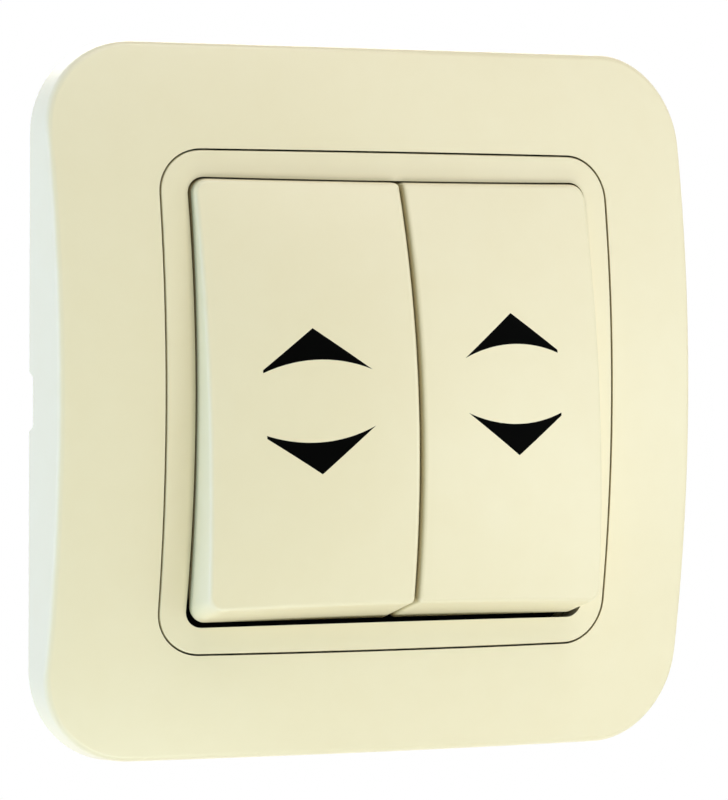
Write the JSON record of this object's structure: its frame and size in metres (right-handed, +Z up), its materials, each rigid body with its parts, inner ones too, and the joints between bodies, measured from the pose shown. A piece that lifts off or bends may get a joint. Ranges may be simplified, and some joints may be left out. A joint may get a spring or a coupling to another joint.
{
  "type": "double rocker intermediate light switch",
  "caption": "Flush wall light switch: two rocker caps with up and down arrowheads, side by side in a pillow-shaped square cover frame, with crossover contacts behind.",
  "frame": {"origin": "centre of the yoke's back face, in the plane of the wall, midway between the wall box screws", "axes": "+X to the viewer's right, +Z up, +Y into the wall; the front faces -Y"},
  "size_m": [0.082, 0.0421, 0.082],
  "materials": {
    "cream_gloss_plastic": "moulded, glossy",
    "black_plastic": "inlaid, satin",
    "grey_moulded_plastic": "moulded, matt",
    "white_acetal": "moulded, satin",
    "zinc_plated_steel": "zinc plated",
    "black_coated_steel": "dip coated, matt",
    "spring_steel": "drawn, plain",
    "brass_strip": "stamped",
    "silver_contact": "riveted silver alloy"
  },
  "bodies": {
    "fixed": {"cover_frame": "cream_gloss_plastic", "trim_ring": "cream_gloss_plastic", "yoke": "black_coated_steel", "mechanism_cover": "grey_moulded_plastic", "mechanism_base": "grey_moulded_plastic", "housing_screws": "zinc_plated_steel", "left_first_common_strip": "brass_strip", "left_first_link": "brass_strip", "left_first_fixed_contacts": "silver_contact", "left_first_up_clamp_spring": "spring_steel", "left_first_down_clamp_spring": "spring_steel", "left_second_common_strip": "brass_strip", "left_second_link": "brass_strip", "left_second_fixed_contacts": "silver_contact", "left_second_up_clamp_spring": "spring_steel", "left_second_down_clamp_spring": "spring_steel", "right_first_common_strip": "brass_strip", "right_first_link": "brass_strip", "right_first_fixed_contacts": "silver_contact", "right_first_up_clamp_spring": "spring_steel", "right_first_down_clamp_spring": "spring_steel", "right_second_common_strip": "brass_strip", "right_second_link": "brass_strip", "right_second_fixed_contacts": "silver_contact", "right_second_up_clamp_spring": "spring_steel", "right_second_down_clamp_spring": "spring_steel"},
    "left_rocker": {"left_rocker_cap": "cream_gloss_plastic", "left_up_arrow": "black_plastic", "left_down_arrow": "black_plastic", "left_cradle": "white_acetal", "left_first_plunger_spring": "spring_steel", "left_second_plunger_spring": "spring_steel"},
    "left_first_plunger": {"left_first_plunger": "white_acetal"},
    "left_first_lever": {"left_first_lever": "brass_strip", "left_first_moving_contacts": "silver_contact"},
    "left_second_plunger": {"left_second_plunger": "white_acetal"},
    "left_second_lever": {"left_second_lever": "brass_strip", "left_second_moving_contacts": "silver_contact"},
    "right_rocker": {"right_rocker_cap": "cream_gloss_plastic", "right_up_arrow": "black_plastic", "right_down_arrow": "black_plastic", "right_cradle": "white_acetal", "right_first_plunger_spring": "spring_steel", "right_second_plunger_spring": "spring_steel"},
    "right_first_plunger": {"right_first_plunger": "white_acetal"},
    "right_first_lever": {"right_first_lever": "brass_strip", "right_first_moving_contacts": "silver_contact"},
    "right_second_plunger": {"right_second_plunger": "white_acetal"},
    "right_second_lever": {"right_second_lever": "brass_strip", "right_second_moving_contacts": "silver_contact"}
  },
  "joints": [
    {"name": "left_rock", "type": "hinge", "parent": "fixed", "child": "left_rocker", "pos_m": [-0.0125, -0.00215, 0], "axis": [1, 0, 0], "range_deg": [0, 10.94]},
    {"name": "left_first_press", "type": "slide", "parent": "left_rocker", "child": "left_first_plunger", "axis": [0, 0.9954, -0.0953], "range_m": [-0.0008, 0], "stiffness_N_per_m": 300, "springref_m": 0.002, "deforming": ["left_first_plunger_spring"]},
    {"name": "left_first_tip", "type": "hinge", "parent": "fixed", "child": "left_first_lever", "pos_m": [-0.0174, 0.016, 0], "axis": [1, 0, 0], "range_deg": [-12, 0]},
    {"name": "left_second_press", "type": "slide", "parent": "left_rocker", "child": "left_second_plunger", "axis": [0, 0.9954, -0.0953], "range_m": [-0.0008, 0], "stiffness_N_per_m": 300, "springref_m": 0.002, "deforming": ["left_second_plunger_spring"]},
    {"name": "left_second_tip", "type": "hinge", "parent": "fixed", "child": "left_second_lever", "pos_m": [-0.0076, 0.016, 0], "axis": [1, 0, 0], "range_deg": [-12, 0]},
    {"name": "right_rock", "type": "hinge", "parent": "fixed", "child": "right_rocker", "pos_m": [0.0125, -0.00215, 0], "axis": [1, 0, 0], "range_deg": [0, 10.94]},
    {"name": "right_first_press", "type": "slide", "parent": "right_rocker", "child": "right_first_plunger", "axis": [0, 0.9954, -0.0953], "range_m": [-0.0008, 0], "stiffness_N_per_m": 300, "springref_m": 0.002, "deforming": ["right_first_plunger_spring"]},
    {"name": "right_first_tip", "type": "hinge", "parent": "fixed", "child": "right_first_lever", "pos_m": [0.0076, 0.016, 0], "axis": [1, 0, 0], "range_deg": [-12, 0]},
    {"name": "right_second_press", "type": "slide", "parent": "right_rocker", "child": "right_second_plunger", "axis": [0, 0.9954, -0.0953], "range_m": [-0.0008, 0], "stiffness_N_per_m": 300, "springref_m": 0.002, "deforming": ["right_second_plunger_spring"]},
    {"name": "right_second_tip", "type": "hinge", "parent": "fixed", "child": "right_second_lever", "pos_m": [0.0174, 0.016, 0], "axis": [1, 0, 0], "range_deg": [-12, 0]}
  ],
  "couplings": [
    {"joint": "left_first_tip", "follows": "left_rock", "ratio": -1.0968},
    {"joint": "left_second_tip", "follows": "left_rock", "ratio": -1.0968},
    {"joint": "right_first_tip", "follows": "right_rock", "ratio": -1.0968},
    {"joint": "right_second_tip", "follows": "right_rock", "ratio": -1.0968}
  ]
}
